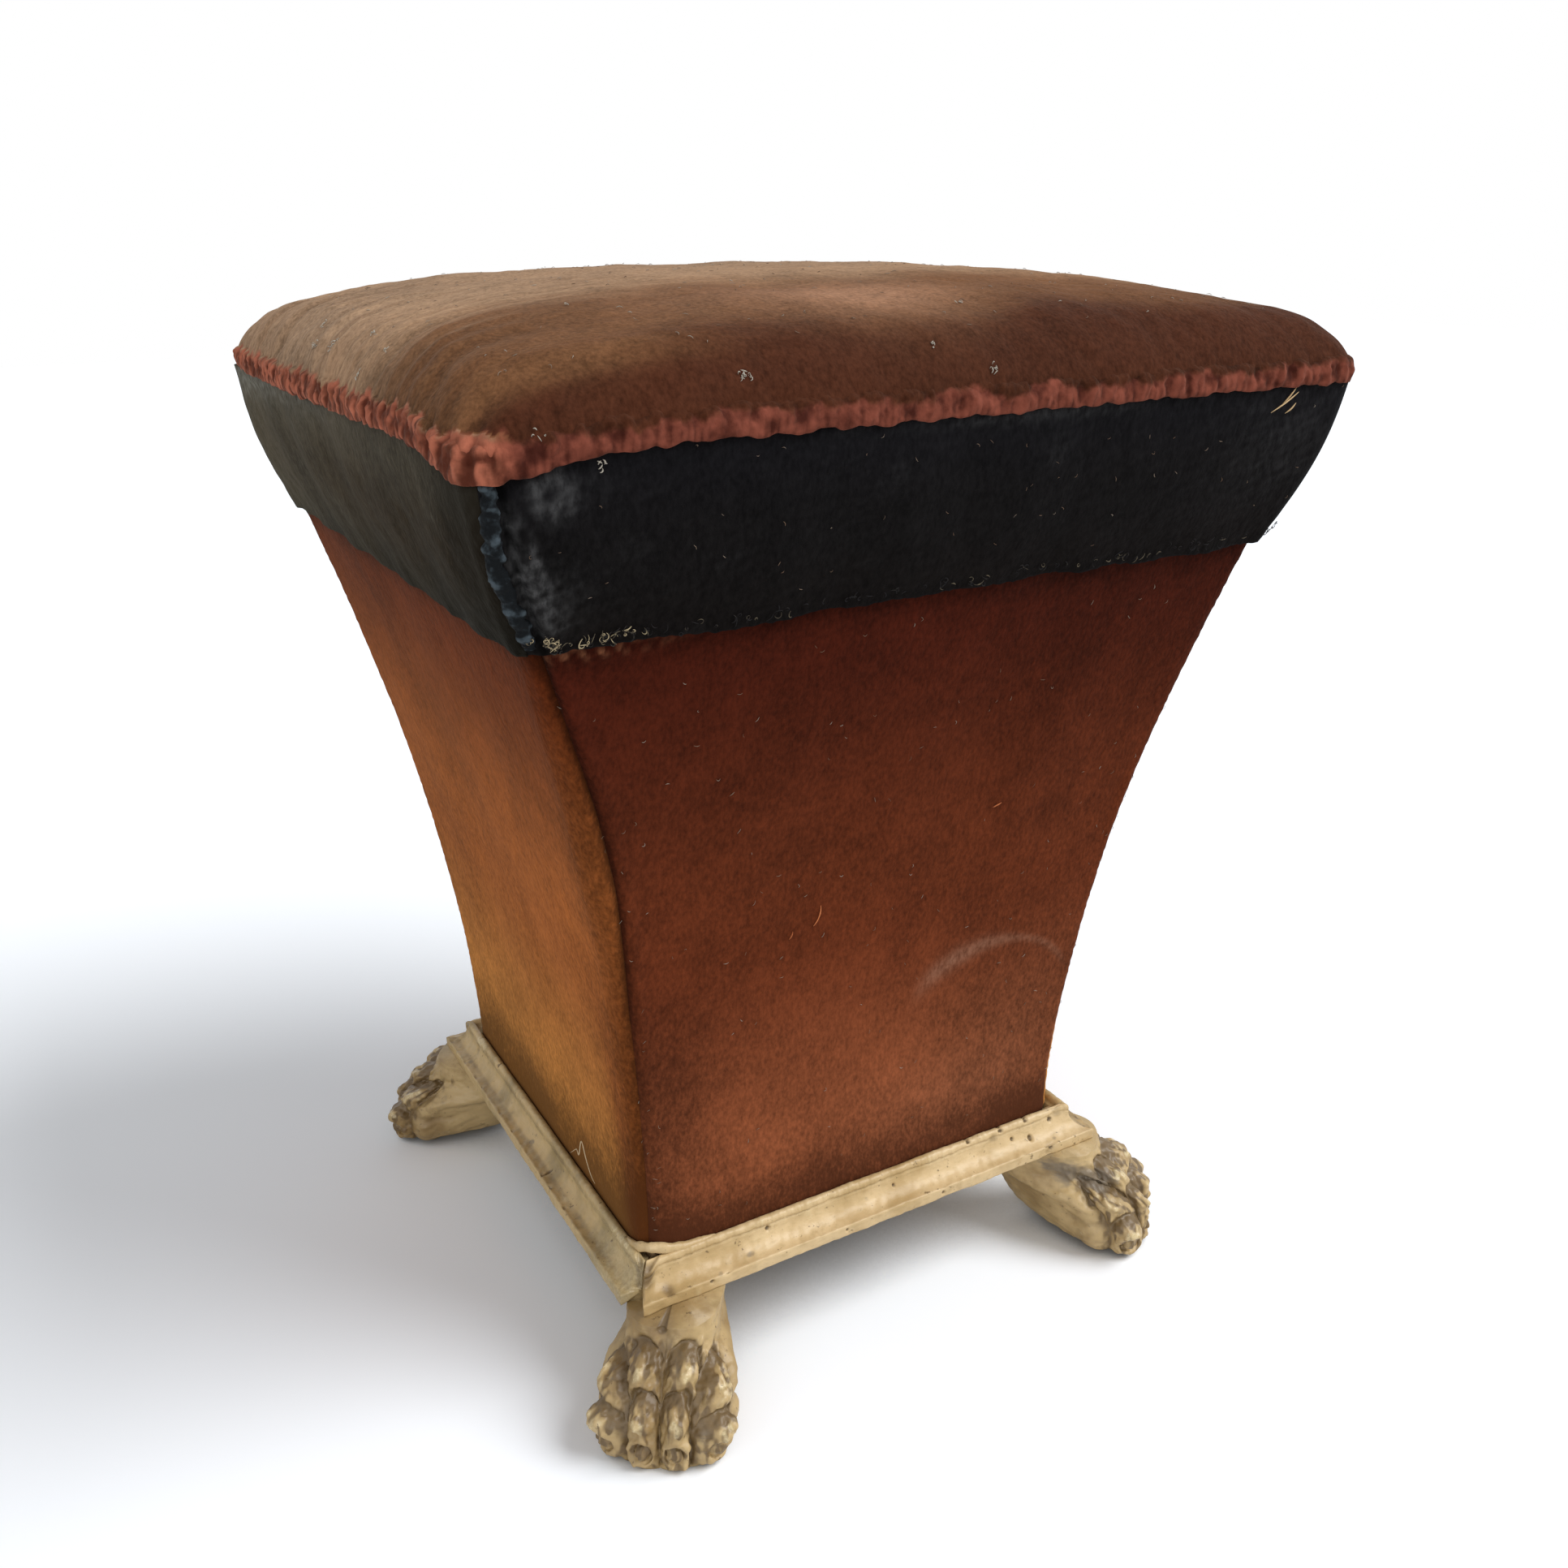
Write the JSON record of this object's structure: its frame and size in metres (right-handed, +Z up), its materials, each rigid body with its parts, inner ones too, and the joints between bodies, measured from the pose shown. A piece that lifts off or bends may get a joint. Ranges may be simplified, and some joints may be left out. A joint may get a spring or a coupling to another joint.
{
  "type": "piano stool",
  "caption": "Square upholstered piano stool with a domed velvet seat, a dark band, sides that flare out in a hollow curve, and a moulded plinth on carved paw feet.",
  "frame": {"origin": "on the floor, under the middle of the stool", "axes": "+Z up, -Y towards the front (the dark red side), -X towards the left (the orange-brown side)"},
  "size_m": [0.384, 0.384, 0.4837],
  "materials": {
    "painted_wood": "old cream paint, worn and rubbed with brown wax in the hollows",
    "pine": "bare sawn softwood",
    "beech": "bare turned dowel",
    "seat_velvet": "worn brown cotton velvet, gathered along its edge",
    "front_velvet": "dark red-brown cotton velvet",
    "side_velvet": "faded orange-brown cotton velvet",
    "band_velvet": "worn black velveteen, stitched by hand",
    "jute": "coarse woven jute",
    "horsehair": "curled hair",
    "wadding": "cotton felt",
    "dust_cloth": "plain black cotton"
  },
  "bodies": {
    "root": {"foot_front_left": "painted_wood", "foot_front_right": "painted_wood", "foot_back_right": "painted_wood", "foot_back_left": "painted_wood", "foot_dowels": "beech", "plinth_moulding_front": "painted_wood", "plinth_moulding_right": "painted_wood", "plinth_moulding_back": "painted_wood", "plinth_moulding_left": "painted_wood", "base_rail_front": "pine", "base_rail_right": "pine", "base_rail_back": "pine", "base_rail_left": "pine", "base_frame_dowels": "beech", "corner_post_front_left": "pine", "corner_post_front_right": "pine", "corner_post_back_right": "pine", "corner_post_back_left": "pine", "post_dowels": "beech", "side_board_front": "pine", "side_board_right": "pine", "side_board_back": "pine", "side_board_left": "pine", "seat_rail_front": "pine", "seat_rail_right": "pine", "seat_rail_back": "pine", "seat_rail_left": "pine", "seat_frame_dowels": "beech", "seat_corner_blocks": "pine", "webbing_front_to_back": "jute", "webbing_side_to_side": "jute", "base_hessian": "jute", "seat_stuffing": "horsehair", "seat_cover": "seat_velvet", "band_front": "band_velvet", "band_right": "band_velvet", "band_back": "band_velvet", "band_left": "band_velvet", "band_padding": "wadding", "body_cover_front": "front_velvet", "body_cover_right": "side_velvet", "body_cover_back": "front_velvet", "body_cover_left": "side_velvet", "dust_cloth": "dust_cloth"}
  },
  "joints": []
}
